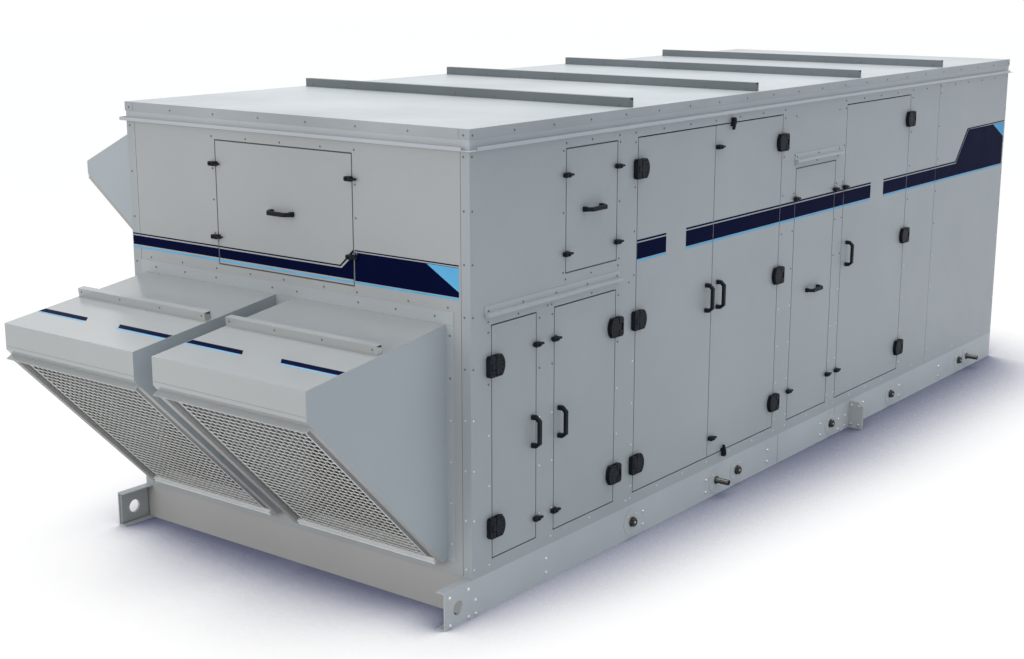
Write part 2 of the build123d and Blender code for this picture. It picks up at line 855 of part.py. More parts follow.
def make_lift_off_panels():
    save("upper_access_panel", leaf(*upper_panel, door_side))
    save("tall_access_panel", leaf(*tall_panel, door_side))
    save("end_access_panel", leaf(*end_panel, intake_side))

    latches = []
    for (left, right, bottom, top), margins in (
            (upper_panel, upper_latch_margins), (tall_panel, tall_latch_margins)):
        for z in between(bottom, top, margins):
            latches.append(Pos(intake_x + left, door_y, z) * seam_latch(False))
            latches.append(Pos(intake_x + right, door_y, z) * seam_latch(True))
    near, far, bottom, top = end_panel
    for z in between(bottom, top, end_latch_margins):
        for y, on_left in ((far, False), (near, True)):
            latches.append(Pos(intake_x, door_y + y, z) * Rot(0, 0, -90) * seam_latch(on_left))
    save("panel_latches", *latches)

    upper_middle = sum(upper_panel_seams) / 2
    upper_grip = (upper_panel_bottom + tall_door_top) / 2 - upper_panel_grip_drop
    tall_middle = sum(tall_panel_seams) / 2
    end_grip = (bottom + top) / 2 - end_panel_grip_drop
    handles = [
        Pos(intake_x + upper_middle, door_y, upper_grip) * level_handle(),
        Pos(intake_x + tall_middle, door_y, tall_panel_grip) * level_handle(),
        Pos(intake_x, door_y + end_panel_middle, end_grip) * Rot(0, 0, -90) * level_handle(),
    ]
    save("panel_handles", *handles)


os.makedirs("parts", exist_ok=True)
make_base()
make_corner_posts()
make_door_side()
make_stops()
make_intake_wall()
make_far_wall()
make_rear_wall()
make_roof()
make_hoods()
make_flashings()
make_drip_caps()
make_fittings()
make_doors()
make_lift_off_panels()
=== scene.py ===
"""Looks of the outdoor air unit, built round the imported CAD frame. Lengths are in metres."""
from math import asin, cos, hypot, pi, radians, sin

import bmesh
import bpy
from mathutils import Matrix, Vector


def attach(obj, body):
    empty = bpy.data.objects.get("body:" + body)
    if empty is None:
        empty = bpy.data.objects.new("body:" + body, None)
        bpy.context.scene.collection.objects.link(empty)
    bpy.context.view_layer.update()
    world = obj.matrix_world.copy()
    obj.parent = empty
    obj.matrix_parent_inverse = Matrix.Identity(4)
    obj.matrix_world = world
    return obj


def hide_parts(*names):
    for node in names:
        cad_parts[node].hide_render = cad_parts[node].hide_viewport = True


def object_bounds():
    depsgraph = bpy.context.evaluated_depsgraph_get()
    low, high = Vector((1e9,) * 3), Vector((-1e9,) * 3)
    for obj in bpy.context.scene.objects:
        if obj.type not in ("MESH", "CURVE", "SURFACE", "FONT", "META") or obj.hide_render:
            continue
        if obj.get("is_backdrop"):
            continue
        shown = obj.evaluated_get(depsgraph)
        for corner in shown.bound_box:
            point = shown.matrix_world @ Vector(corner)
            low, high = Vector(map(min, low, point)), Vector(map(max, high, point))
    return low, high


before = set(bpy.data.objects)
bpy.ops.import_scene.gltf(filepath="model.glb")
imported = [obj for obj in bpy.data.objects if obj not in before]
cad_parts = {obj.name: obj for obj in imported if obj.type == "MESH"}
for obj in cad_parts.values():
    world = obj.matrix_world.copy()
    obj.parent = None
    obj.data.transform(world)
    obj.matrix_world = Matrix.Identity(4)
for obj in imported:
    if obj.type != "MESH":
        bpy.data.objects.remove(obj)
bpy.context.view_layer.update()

# Cabinet and openings, as in the CAD frame
LENGTH = 6.713
WIDTH = 2.438
HEIGHT = 2.400
INTAKE_X = -LENGTH / 2
DOOR_Y = -WIDTH / 2
FAR_Y = WIDTH / 2
REAR_X = LENGTH / 2
WALL_FOOT = 0.206
WALL_TOP = 2.298
CAP_OUT = 0.004
HALF_GAP = 0.0035
SHEET = 0.003

# Hoods, from the wall outwards; the screens run from toe to lip as (out, height)
HOOD_TOP = 1.462
HOOD_REACH = 0.945
HOOD_FALL = 0.125
HOOD_WIDTH = 1.017
HOOD_STARTS = (0.151, 1.305)
HOOD_TOE = (0.042, 0.270)
HOOD_LIP = (0.9158, 1.1690)
HOOD_FASCIA_FOOT = 1.197
HOOD_RIB_OUT = 0.453
RELIEF_START = 0.100
RELIEF_WIDTH = 1.000
RELIEF_TOE = (0.042, 1.622)
RELIEF_LIP = (0.4899, 1.9471)

# Pipe fittings on the door-side rail, from the intake end
UNION_PLACES = (1.414, 2.584, 3.852, 4.805, 6.060)
STUB_PLACES = (2.334, 6.223)
FITTING_HEIGHT = 0.094

# Camera, solved from the photograph's edges
CAMERA_PLACE = (-8.9545, -5.792, 3.145)
CAMERA_TURN = (76.865, 0.0099, -52.3077)
CAMERA_LENS = 55.37


# Node helpers

PEEL_SCALE = 220.0


def node(tree, kind, **values):
    """Add a shader node; each value sets a property, a socket or a link."""
    made = tree.nodes.new(kind)
    for name, value in values.items():
        if hasattr(made, name) and not name.startswith("in_"):
            setattr(made, name, value)
            continue
        key = name[3:].replace("_", " ")
        socket = made.inputs[int(key)] if key.isdigit() else made.inputs[key]
        if isinstance(value, bpy.types.NodeSocket):
            tree.links.new(value, socket)
        else:
            socket.default_value = value
    return made


def ramp(tree, factor, *stops):
    """Colour ramp with stops of (place, colour)."""
    made = node(tree, "ShaderNodeValToRGB", in_Fac=factor)
    elements = made.color_ramp.elements
    while len(elements) < len(stops):
        elements.new(0.5)
    for element, (place, colour) in zip(elements, stops):
        element.position = place
        element.color = colour if len(colour) == 4 else (*colour, 1)
    return made.outputs["Color"]


def ramp_into(tree, socket, factor, *stops):
    """Let a texture set a socket, through a ramp."""
    tree.links.new(ramp(tree, factor, *stops), socket)


def grey(value):
    return (value, value, value, 1)


def scaled(colour, factor):
    return tuple(min(1, c * factor) for c in colour)


def overlay(tree, share, under, over):
    """Blend two colours. The mix node has sockets of one name for every type, so the type is asked too."""
    mix = node(tree, "ShaderNodeMix", data_type="RGBA", blend_type="OVERLAY")
    factor = next(s for s in mix.inputs if s.name == "Factor" and s.type == "VALUE")
    factor.default_value = share
    for name, colour in (("A", under), ("B", over)):
        socket = next(s for s in mix.inputs if s.name == name and s.type == "RGBA")
        tree.links.new(colour, socket)
    return next(s for s in mix.outputs if s.type == "RGBA")


def noise(tree, coords, scale, detail=2.0, rough=0.5):
    return node(tree, "ShaderNodeTexNoise", in_Vector=coords, in_Scale=scale,
                in_Detail=detail, in_Roughness=rough).outputs["Fac"]


def cells(tree, coords, scale):
    return node(tree, "ShaderNodeTexVoronoi", in_Vector=coords, in_Scale=scale).outputs["Distance"]


def bump(tree, shader, height, strength, distance=0.0003):
    relief = node(tree, "ShaderNodeBump", in_Strength=strength, in_Distance=distance, in_Height=height)
    tree.links.new(relief.outputs["Normal"], shader.inputs["Normal"])


def seen_directly(tree):
    """One for a camera or mirror ray, nought for light that bounces on."""
    rays = node(tree, "ShaderNodeLightPath").outputs
    camera, glossy = rays["Is Camera Ray"], rays["Is Glossy Ray"]
    return node(tree, "ShaderNodeMath", operation="MAXIMUM", in_0=camera, in_1=glossy).outputs[0]


def base_material(name):
    material = bpy.data.materials.new(name)
    material.use_nodes = True
    tree = material.node_tree
    coords = node(tree, "ShaderNodeTexCoord").outputs["Object"]
    return material, tree, tree.nodes["Principled BSDF"], coords


# Materials

def powder_coat(name, colour, rough=0.42, cloud=0.035, specular=0.35):
    """Satin powder coat: slow mottling of tone and gloss over a fine orange peel."""
    material, tree, shader, coords = base_material(name)
    slow = noise(tree, coords, 1.3, 3.0)
    tone = ramp(tree, slow, (0.3, scaled(colour, 1 - cloud)), (0.7, scaled(colour, 1 + cloud)))
    speckle = ramp(tree, noise(tree, coords, 130.0), (0.3, grey(0.3)), (0.7, grey(0.7)))
    tree.links.new(overlay(tree, 0.03, tone, speckle), shader.inputs["Base Color"])
    gloss = noise(tree, coords, 5.0, 3.0)
    ramp_into(tree, shader.inputs["Roughness"], gloss, (0.25, grey(rough - 0.04)), (0.75, grey(rough + 0.04)))
    bump(tree, shader, noise(tree, coords, PEEL_SCALE, 1.0), 0.015, 0.0004)
    shader.inputs["Specular IOR Level"].default_value = specular
    return material


def vinyl(name, colour):
    """Printed film: even colour with a faint orange-peel sheen."""
    material, tree, shader, coords = base_material(name)
    slow = noise(tree, coords, 5.0)
    dark, light = scaled(colour, 0.92), scaled(colour, 1.08)
    ramp_into(tree, shader.inputs["Base Color"], slow, (0.3, dark), (0.7, light))
    gloss = noise(tree, coords, 9.0)
    ramp_into(tree, shader.inputs["Roughness"], gloss, (0.3, grey(0.36)), (0.7, grey(0.44)))
    bump(tree, shader, noise(tree, coords, PEEL_SCALE, 1.0), 0.03)
    shader.inputs["Specular IOR Level"].default_value = 0.01
    return material


def moulding(name, colour, rough=0.40):
    """Black grained plastic with slightly worn, paler high spots."""
    material, tree, shader, coords = base_material(name)
    wear = noise(tree, coords, 24.0, 4.0, 0.6)
    ramp_into(tree, shader.inputs["Base Color"], wear, (0.35, colour), (0.75, scaled(colour, 1.6)))
    gloss = noise(tree, coords, 60.0)
    ramp_into(tree, shader.inputs["Roughness"], gloss, (0.3, grey(rough - 0.07)), (0.7, grey(rough + 0.08)))
    bump(tree, shader, cells(tree, coords, 700.0), 0.10)
    shader.inputs["Specular IOR Level"].default_value = 0.07
    return material


def metal(name, colour, rough, metallic=1.0):
    """Plated or painted steel with a fine variation of tone and gloss."""
    material, tree, shader, coords = base_material(name)
    shader.inputs["Metallic"].default_value = metallic
    tint = noise(tree, coords, 90.0)
    ramp_into(tree, shader.inputs["Base Color"], tint, (0.3, scaled(colour, 0.82)), (0.7, colour))
    gloss = noise(tree, coords, 140.0, 3.0)
    ramp_into(tree, shader.inputs["Roughness"], gloss, (0.3, grey(rough)), (0.7, grey(rough + 0.14)))
    bump(tree, shader, gloss, 0.08)
    return material


def seal(name):
    """Black foam seal with open pores."""
    material, tree, shader, coords = base_material(name)
    pores = cells(tree, coords, 500.0)
    ramp_into(tree, shader.inputs["Base Color"], pores, (0.1, grey(0.008)), (0.5, grey(0.03)))
    shader.inputs["Roughness"].default_value = 0.9
    shader.inputs["Specular IOR Level"].default_value = 0.03
    bump(tree, shader, pores, 0.4, 0.0008)
    return material


# One paint on the whole unit; each group of pieces has its own tone of it, painted light and shade for how
# unevenly each group is lit
paint = powder_coat("cabinet_powder_coat", (0.400, 0.426, 0.440))
end_paint = powder_coat("end_powder_coat", (0.430, 0.438, 0.440))
roof_paint = powder_coat("roof_powder_coat", (0.405, 0.428, 0.443), rough=0.34, cloud=0.10, specular=0.17)
# Painted light: the roof deck band under the cap gets a lighter tone, lifting its shade
gutter_light_paint = powder_coat("roof_gutter_painted_light", (0.490, 0.515, 0.535), rough=0.38)
# Painted shade: the roof ribs' tone is far darker than the rest of the paint
rib_shade_paint = powder_coat("roof_rib_painted_shade", (0.175, 0.195, 0.205), cloud=0.06, specular=0.20)
hood_paint = powder_coat("hood_powder_coat", (0.435, 0.472, 0.495), rough=0.34)
cover_paint = powder_coat("hood_cover_coat", (0.412, 0.424, 0.424), rough=0.20, cloud=0.02, specular=0.85)
# Painted light: the base rails, cross members and fitting plates get a lighter tone than the walls
base_paint = powder_coat("base_rail_painted_light", (0.510, 0.535, 0.552), rough=0.45, cloud=0.06)
base_end_paint = powder_coat("base_end_coat", (0.450, 0.445, 0.432), rough=0.45, cloud=0.06)
lug_paint = powder_coat("lug_coat", (0.440, 0.450, 0.450), rough=0.45, cloud=0.08)
trim_paint = powder_coat("trim_coat", (0.450, 0.478, 0.492), rough=0.36)
screen_paint = powder_coat("screen_frame_coat", (0.430, 0.418, 0.398), rough=0.40, cloud=0.08)
# Painted highlight: near-white strips along the screen frames' edges and toe rail
screen_edge_highlight = powder_coat("screen_edge_painted_highlight", (0.80, 0.81, 0.81), rough=0.36, cloud=0.04)
# Painted shade: thin dark floors in the screens' side channels
screen_slot_shade = powder_coat("screen_slot_painted_shade", (0.190, 0.196, 0.196), rough=0.5, cloud=0.08, specular=0.15)
wire = metal("screen_wire", (0.74, 0.73, 0.70), 0.34, 0.15)
# Painted shade: dark lines along trim joints, creases and the sunk panel seams
joint_shade_paint = powder_coat("joint_shadow_coat", (0.115, 0.122, 0.126), specular=0.1)
# Painted shade: black strips sunk in the wall and base seams, with the foam look
shadow_gap = seal("seam_painted_shade")
black = moulding("black_moulding", (0.0125, 0.0150, 0.0190))
# Near-black: painted shade for the hinges' holes and slots, and the black of the latch key bosses
hole_shade_and_key_black = moulding("painted_hole_shade_and_key_black", (0.0008, 0.0008, 0.0010), rough=0.8)
navy = vinyl("navy_film", (0.0022, 0.0046, 0.0310))
pale_blue = vinyl("light_blue_film", (0.15, 0.50, 0.82))
zinc = metal("zinc_screws", (0.80, 0.81, 0.82), 0.26)
# Painted shade: a darker, duller zinc for the screws high on the unit
shaded_zinc = metal("zinc_screws_painted_shade", (0.180, 0.186, 0.192), 0.42, 0.3)
blackened = metal("blackened_fitting", (0.110, 0.105, 0.095), 0.14)
# Black foam seal on the door stops and ledges, partly painted shade: it keeps the door gaps dark
foam = seal("door_seal_and_gap_shade")


def material_of(name):
    if name == "base_end_rails":
        return base_end_paint
    if name.startswith("base_") or name in ("cross_members", "fitting_plates"):
        return base_paint
    if name in ("lifting_doublers", "side_lugs"):
        return lug_paint
    if name == "roof_ribs":
        return rib_shade_paint
    if name == "roof_deck":
        return gutter_light_paint
    if name.startswith("roof_"):
        return roof_paint
    if name == "end_access_panel" or name.startswith("intake_wall_"):
        return end_paint
    if name.startswith("intake_hood") and name.endswith(("_cover", "_ribs")):
        return cover_paint
    if name.startswith("intake_hood") or name.startswith("relief_hood"):
        return screen_paint if name.endswith("_screen") else hood_paint
    if name in ("hood_flashings", "door_drip_caps"):
        return trim_paint
    if name in ("pipe_unions", "pipe_stubs"):
        return blackened
    if name in ("door_stops", "panel_ledges"):
        return foam
    if name in ("panel_latches", "panel_handles", "hinge_frame_halves"):
        return black
    if name.endswith("_hinges") or name.endswith("_fittings"):
        return black
    return paint


for name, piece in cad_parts.items():
    piece.data.materials.clear()
    piece.data.materials.append(material_of(name))


# Mesh helpers

def disc(radius, height):
    """Profile of a closed cylinder."""
    return [(0, 0.0), (radius, 0.0), (radius, height), (0, height)]


class Shape:
    """Collects solids that become one joined mesh."""

    def __init__(self):
        self.points = []
        self.faces = []

    def add(self, points, faces, place):
        start = len(self.points)
        self.points += [place @ Vector(point) for point in points]
        self.faces += [tuple(start + i for i in face) for face in faces]

    def prism(self, outline, low, high, place):
        """Outline of (u, v) points, solid from w=low to w=high."""
        count = len(outline)
        points = [(u, v, low) for u, v in outline] + [(u, v, high) for u, v in outline]
        faces = [tuple(reversed(range(count))), tuple(range(count, 2 * count))]
        faces += [(i, (i + 1) % count, count + (i + 1) % count, count + i) for i in range(count)]
        self.add(points, faces, place)

    def plate(self, u0, u1, v0, v1, low, high, place):
        self.prism([(u0, v0), (u1, v0), (u1, v1), (u0, v1)], low, high, place)

    def turned(self, profile, place, sides=12):
        """Profile of (radius, w) points turned about w; it ends at radius 0 or where it began."""
        points = []
        rings = []
        for radius, w in profile:
            if radius == 0:
                rings.append([len(points)])
                points.append((0, 0, w))
            else:
                rings.append(list(range(len(points), len(points) + sides)))
                points += [(radius * cos(2 * pi * i / sides), radius * sin(2 * pi * i / sides), w)
                           for i in range(sides)]
        faces = []
        for low, high in zip(rings, rings[1:]):
            for i in range(sides):
                j = (i + 1) % sides
                if len(high) == 1:
                    faces.append((low[i], low[j], high[0]))
                elif len(low) == 1:
                    faces.append((low[0], high[j], high[i]))
                else:
                    faces.append((low[i], low[j], high[j], high[i]))
        self.add(points, faces, place)

    def rod(self, first, last, radius):
        """Round wire between two points."""
        start, end = Vector(first), Vector(last)
        axis = (end - start).normalized()
        across = Vector((0, 0, 1)) if abs(axis.z) < 0.9 else Vector((1, 0, 0))
        seat = facing(start, axis, across - axis * across.dot(axis))
        self.turned(disc(radius, (end - start).length), seat, 8)

    def piece(self, name, body, material, slot, smooth=False, replaces=(), bevel=0.0):
        mesh = bpy.data.meshes.new(name)
        mesh.from_pydata([tuple(p) for p in self.points], [], self.faces)
        mesh.validate()
        shell = bmesh.new()
        shell.from_mesh(mesh)
        bmesh.ops.recalc_face_normals(shell, faces=shell.faces)
        shell.to_mesh(mesh)
        shell.free()
        mesh.materials.append(material)
        if smooth or bevel:
            mesh.shade_smooth()
            mesh.set_sharp_from_angle(angle=radians(40))
        made = bpy.data.objects.new(name, mesh)
        bpy.context.scene.collection.objects.link(made)
        if bevel:
            edge = made.modifiers.new("edge_rounding", "BEVEL")
            edge.width = bevel
            edge.segments = 2
            edge.limit_method = "ANGLE"
            edge.angle_limit = radians(35)
            edge.harden_normals = True
        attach(made, body)
        if replaces:
            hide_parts(*replaces)
        return made


def facing(origin, normal, up):
    """Matrix with w along normal, v along up and u across."""
    w = Vector(normal).normalized()
    v = Vector(up).normalized()
    u = v.cross(w)
    place = Matrix((u, v, w)).transposed().to_4x4()
    place.translation = Vector(origin)
    return place


def on_door_side(s, z, out=0.0):
    """Place on the door side, s from the intake end; u is +X."""
    return facing((INTAKE_X + s, DOOR_Y - out, z), (0, -1, 0), (0, 0, 1))


def on_intake_side(s, z, out=0.0):
    """Place on the intake end, s from the far side; u is -Y."""
    return facing((INTAKE_X - out, FAR_Y - s, z), (-1, 0, 0), (0, 0, 1))


def on_far_side(s, z, out=0.0):
    """Place on the far side, s from the intake end; u is -X."""
    return facing((INTAKE_X + s, FAR_Y + out, z), (0, 1, 0), (0, 0, 1))


def on_rear_side(s, z, out=0.0):
    """Place on the rear end, s from the door side; u is +Y."""
    return facing((REAR_X + out, DOOR_Y + s, z), (1, 0, 0), (0, 0, 1))


def steps(first, last, pitch):
    count = int(round(abs(last - first) / pitch))
    return [first + (last - first) * i / count for i in range(count + 1)]


# Screws and bolts

SCREW = [(0, 0.0), (0.0056, 0.0), (0.0056, 0.0009), (0.0044, 0.0013), (0.0040, 0.0029), (0.0024, 0.0037),
         (0, 0.0040)]
BOLT = [(0, 0.0), (0.0105, 0.0), (0.0105, 0.0016), (0.0086, 0.0022), (0.0078, 0.0048), (0.0046, 0.0068),
        (0, 0.0074)]
BRIGHT_BELOW = 1.15
CAP_ROW = 2.370
TOP_ROW = 2.268
FOOT_ROW = 0.237
small = Shape()
small_high = Shape()
large = Shape()


def screws(place, pairs, out=0.0, profile=SCREW, shape=None):
    """Heads at (s, z); the screws above BRIGHT_BELOW are a piece of their own in a darker, duller zinc:
    painted shade.
    """
    for s, z in pairs:
        target = shape or (small if z < BRIGHT_BELOW else small_high)
        target.turned(profile, place(s, z, out))


def grid(columns, rows):
    return [(s, z) for s in columns for z in rows]


low_rows = steps(1.418, 0.390, 0.257)
tall_rows = steps(2.218, 0.3095, 0.2385)
post_rows = steps(0.245, 2.270, 0.2536)
screws(on_door_side, [(s, CAP_ROW) for s in steps(0.018, 6.695, 0.318)], CAP_OUT)
screws(on_door_side, grid((0.018, 6.695), post_rows))
screws(on_door_side, grid((0.134, 0.545, 0.652, 1.246), low_rows))
screws(on_door_side, grid((1.391, 3.048, 3.190, 3.780, 3.870, 4.920, 5.414), tall_rows))
screws(on_door_side, [(s, TOP_ROW) for s in (1.391, 1.668, 1.943, 2.218, 2.495, 2.768, 3.043)])
screws(on_door_side, [(s, TOP_ROW) for s in (3.871, 4.138, 4.395, 4.660, 4.920)])
screws(on_door_side, [(s, FOOT_ROW) for s in (0.134, 0.646, 0.998, 1.346, 1.391, 1.668, 1.943, 2.218, 2.490,
                                              2.766, 3.040, 3.190, 3.489, 3.782, 3.866, 4.125, 4.380,
                                              4.640, 4.900)])
screws(on_door_side, [(s, FOOT_ROW) for s in steps(5.150, 6.430, 0.256)])
screws(on_door_side, [(s, TOP_ROW) for s in steps(5.150, 6.430, 0.256)])
screws(on_door_side, grid((0.764, 0.989, 1.2375), (TOP_ROW, 1.579)))
screws(on_door_side, grid((0.741, 1.245), (2.232, 1.921, 1.616)))
screws(on_door_side, [(s, 1.525) for s in (0.134, 0.407, 0.680, 0.954, 1.227)], SHEET)
screws(on_door_side, [(s, 1.470) for s in (0.134, 0.371, 0.611, 0.646, 0.998, 1.346)])
screws(on_door_side, [(s, 1.968) for s in (3.2125, 3.504, 3.795)], SHEET)
screws(on_door_side, [(s, 1.920) for s in (3.195, 3.489, 3.782)])

screws(on_intake_side, [(s, CAP_ROW) for s in steps(0.030, 2.405, 0.3365)], CAP_OUT)
screws(on_intake_side, grid((0.025, 2.402), post_rows))
screws(on_intake_side, [(s, 2.254) for s in (0.686, 0.945, 1.195, 1.482, 1.711)])
screws(on_intake_side, grid((0.686, 1.714), (2.084, 1.918, 1.739)))
screws(on_intake_side, [(s, 1.546) for s in (0.686, 0.945, 1.195, 1.482, 1.711, 2.050, 2.300, 0.150, 0.410)])
screws(on_intake_side, [(s, 1.496) for s in (0.190, 0.430, 0.680, 1.110, 1.290, 1.720, 1.970, 2.220)], SHEET)
flashing_rows = steps(0.360, 1.410, 0.210)
screws(on_intake_side, grid((0.085, 2.313, 1.202), flashing_rows), SHEET)

far_seams = [1.2] + [1.2 + 1.36575 * i for i in range(1, 4)]
screws(on_far_side, [(s, CAP_ROW) for s in steps(0.018, 6.695, 0.318)], CAP_OUT)
screws(on_far_side, grid((0.018, 6.695), post_rows))
screws(on_far_side, grid([s + 0.027 for s in far_seams], tall_rows))
screws(on_far_side, [(s, FOOT_ROW) for s in steps(0.150, 6.560, 0.256)])
screws(on_far_side, [(s, 2.276) for s in steps(1.350, 6.560, 0.256)])
screws(on_rear_side, [(s, CAP_ROW) for s in steps(0.030, 2.405, 0.3365)], CAP_OUT)
screws(on_rear_side, grid((0.025, 2.413), post_rows))
screws(on_rear_side, grid((1.246,), tall_rows))
screws(on_rear_side, [(s, FOOT_ROW) for s in steps(0.150, 2.290, 0.256)])

rail_pairs = [(s, z) for s in (0.607, 1.527, 2.216, 2.973, 3.704, 4.955, 5.670) for z in (0.123, 0.046)]
rail_pairs += grid((3.973, 4.079), (0.095, 0.023)) + [(4.357, 0.130)]
rail_pairs += grid((-0.171, -0.029), (0.161, 0.018)) + [(0.025, 0.089), (0.025, 0.018)]
for place in (on_door_side, on_far_side):
    screws(place, rail_pairs, 0.0, BOLT, large)
corner = 0.0375
for s in UNION_PLACES + STUB_PLACES:
    corners = grid((s - corner, s + corner), (FITTING_HEIGHT - corner, FITTING_HEIGHT + corner))
    screws(on_door_side, corners, SHEET)

# Bolts through the two side lugs, and screws along the feet of the roof ribs
for side in (-1, 1):
    for out, z in grid((0.019, 0.075), (0.027, 0.162)):
        for x, normal in ((4.134, -1), (4.146, 1)):
            head = facing((INTAKE_X + x, side * (WIDTH / 2 + out), z), (normal, 0, 0), (0, 0, 1))
            large.turned(BOLT, head)
for x in (1.385, 2.730, 4.110, 5.460):
    for y in steps(DOOR_Y + 0.09, FAR_Y - 0.09, 0.280):
        for normal in (-1, 1):
            head = facing((INTAKE_X + x + normal * 0.020, y, HEIGHT + 0.018), (normal, 0, 0), (0, 0, 1))
            small_high.turned(SCREW, head)
large.piece("base_bolts", "cabinet", zinc, "base_paint", smooth=True)


# Painted stripes, as thin film cut at every seam

def clip(polygon, u0, u1, v0, v1):
    """Part of a convex polygon inside a rectangle."""
    def cut(points, axis, limit, keep_above):
        kept = []
        for first, second in zip(points, points[1:] + points[:1]):
            inside = (first[axis] >= limit) if keep_above else (first[axis] <= limit)
            crosses = (first[axis] - limit) * (second[axis] - limit) < 0
            if inside:
                kept.append(first)
            if crosses:
                share = (limit - first[axis]) / (second[axis] - first[axis])
                kept.append(tuple(a + (b - a) * share for a, b in zip(first, second)))
        return kept
    for axis, limit, above in ((0, u0, True), (0, u1, False), (1, v0, True), (1, v1, False)):
        polygon = cut(polygon, axis, limit, above)
        if len(polygon) < 3:
            return None
    return polygon


FILM = 0.0004

# Each body's part of the walls, as (left, right, low, high) rectangles between the seams
door_side_tiles = {
    "cabinet": [(1.2245, 1.4125, 0.21, 2.29), (3.0215, 3.2105, 0.21, 2.29), (3.7605, 3.8895, 0.21, 2.29),
                (4.8875, 5.387, 0.21, 2.29), (5.391, 6.663, 0.21, 2.29), (6.663, 6.711, 0.21, 2.29),
                (3.2175, 3.7535, 0.2695, 1.8895)],
    "door_3_body": [(1.4195, 2.216, 0.27, 2.237)],
    "door_4_body": [(2.223, 3.0145, 0.27, 2.237)],
    "door_5_body": [(3.8965, 4.8805, 0.27, 2.237)],
}
band_runs = ((1.4195, 1.7125), (1.920, 4.300), (4.500, 6.690))


def band(left, right, low, high):
    return [(left, low), (right, low), (right, high), (left, high)]


door_navy = []
door_pale = []
for left, right in band_runs:
    door_navy.append(band(left, right, 1.584, 1.673))
    door_navy.append(band(left, min(right, 5.759), 1.680, 1.6905))
    door_pale.append(band(left, right, 1.571, 1.581))
door_navy += [
    [(5.764, 1.673), (6.690, 1.673), (6.690, 1.910), (5.974, 1.910)],
    [(5.740, 1.680), (5.764, 1.680), (5.968, 1.9115), (5.950, 1.921)],
    [(5.950, 1.912), (6.690, 1.918), (6.690, 1.926), (5.950, 1.921)],
]
door_pale += [[(6.470, 1.908), (6.690, 1.800), (6.690, 1.908)]]

intake_tiles = {
    "cabinet": [(0.002, 0.7065, 1.55, 2.29), (1.7005, 2.376, 1.55, 2.29), (0.7145, 1.6915, 1.579, 2.232),
                (0.7065, 1.7005, 1.55, 1.571)],
}
end_navy = [
    [(0.004, 1.6645), (1.592, 1.6645), (1.600, 1.672), (0.004, 1.672)],
    [(0.004, 1.607), (1.700, 1.607), (1.700, 1.657), (0.004, 1.657)],
    [(1.610, 1.657), (1.700, 1.657), (1.700, 1.736)],
    [(1.592, 1.6645), (1.604, 1.664), (1.697, 1.748), (1.690, 1.757)],
    [(1.695, 1.602), (2.370, 1.602), (2.370, 1.746), (1.695, 1.746)],
    [(1.690, 1.7515), (2.370, 1.7515), (2.370, 1.758), (1.690, 1.758)],
]
end_pale = [
    [(0.004, 1.589), (2.370, 1.589), (2.370, 1.5985), (0.004, 1.5985)],
    [(2.170, 1.744), (2.370, 1.628), (2.370, 1.744)],
]


def films(name, tiles, navy_shapes, pale_shapes, place):
    """Film pieces for each body; the light blue one is twice as thick, and shows over the navy."""
    colours = (("navy", navy_shapes, navy, FILM), ("pale", pale_shapes, pale_blue, 2 * FILM))
    for body, rectangles in tiles.items():
        for colour, shapes, material, thickness in colours:
            film = Shape()
            for polygon in shapes:
                for rectangle in rectangles:
                    kept = clip(polygon, *rectangle)
                    if kept:
                        film.prism(kept, 0.0, thickness, place)
            if film.faces:
                film.piece(f"{name}_{colour}_{body}", body, material, "cabinet_paint")


films("door_side_stripe", door_side_tiles, door_navy, door_pale, on_door_side(0, 0))
films("intake_stripe", intake_tiles, end_navy, end_pale, on_intake_side(0, 0))


# Hood tops: the same stripe, lying on the slope, and the screws along the rib

def on_hood_top(start):
    """Place on a hood's top: u is -Y from the hood's door-side edge, v is up the slope."""
    run = hypot(HOOD_REACH, HOOD_FALL)
    normal = (-HOOD_FALL / run, 0, HOOD_REACH / run)
    return facing((INTAKE_X, DOOR_Y + start, HOOD_TOP), normal, (HOOD_REACH / run, 0, HOOD_FALL / run))


NAVY_ROWS = (-0.742, -0.700)
PALE_ROWS = (-0.756, -0.746)
LEAN = 0.018
for number, hood_start in enumerate(HOOD_STARTS, 1):
    place = on_hood_top(hood_start)
    navy_film = Shape()
    pale_film = Shape()
    for left, right, lean_left, lean_right in ((0.004, 0.385, 0, LEAN), (0.640, 1.013, LEAN, 0)):
        low, high = NAVY_ROWS
        navy_film.prism([(-right + lean_right, low), (-left + lean_left, low),
                         (-left - lean_left, high), (-right - lean_right, high)], 0.0, FILM, place)
        low, high = PALE_ROWS
        pale_film.prism([(-right + lean_right, low), (-left + lean_left, low),
                         (-left, high), (-right, high)], 0.0, FILM, place)
    navy_film.piece(f"hood_{number}_stripe_navy", "cabinet", navy, "cabinet_paint")
    pale_film.piece(f"hood_{number}_stripe_pale", "cabinet", pale_blue, "cabinet_paint")
    for s in steps(0.039, 0.992, 0.318):
        head = place @ facing((-s, -HOOD_RIB_OUT - 0.0235, 0.026), (0, -1, 0), (0, 0, 1))
        small_high.turned(SCREW, head)

small.piece("panel_screws_low", "cabinet", zinc, "cabinet_paint", smooth=True)
small_high.piece("panel_screws_high", "cabinet", shaded_zinc, "cabinet_paint", smooth=True)


# Wire screens of the hoods: u across, v up from the toe, w out of the hood

MESH_PITCH = 0.0386
WIRE = 0.0026
ALONG_V = Matrix(((0, 1, 0, 0), (0, 0, 1, 0), (1, 0, 0, 0), (0, 0, 0, 1)))
ALONG_U = Matrix(((0, 0, 1, 0), (1, 0, 0, 0), (0, 1, 0, 0), (0, 0, 0, 1)))

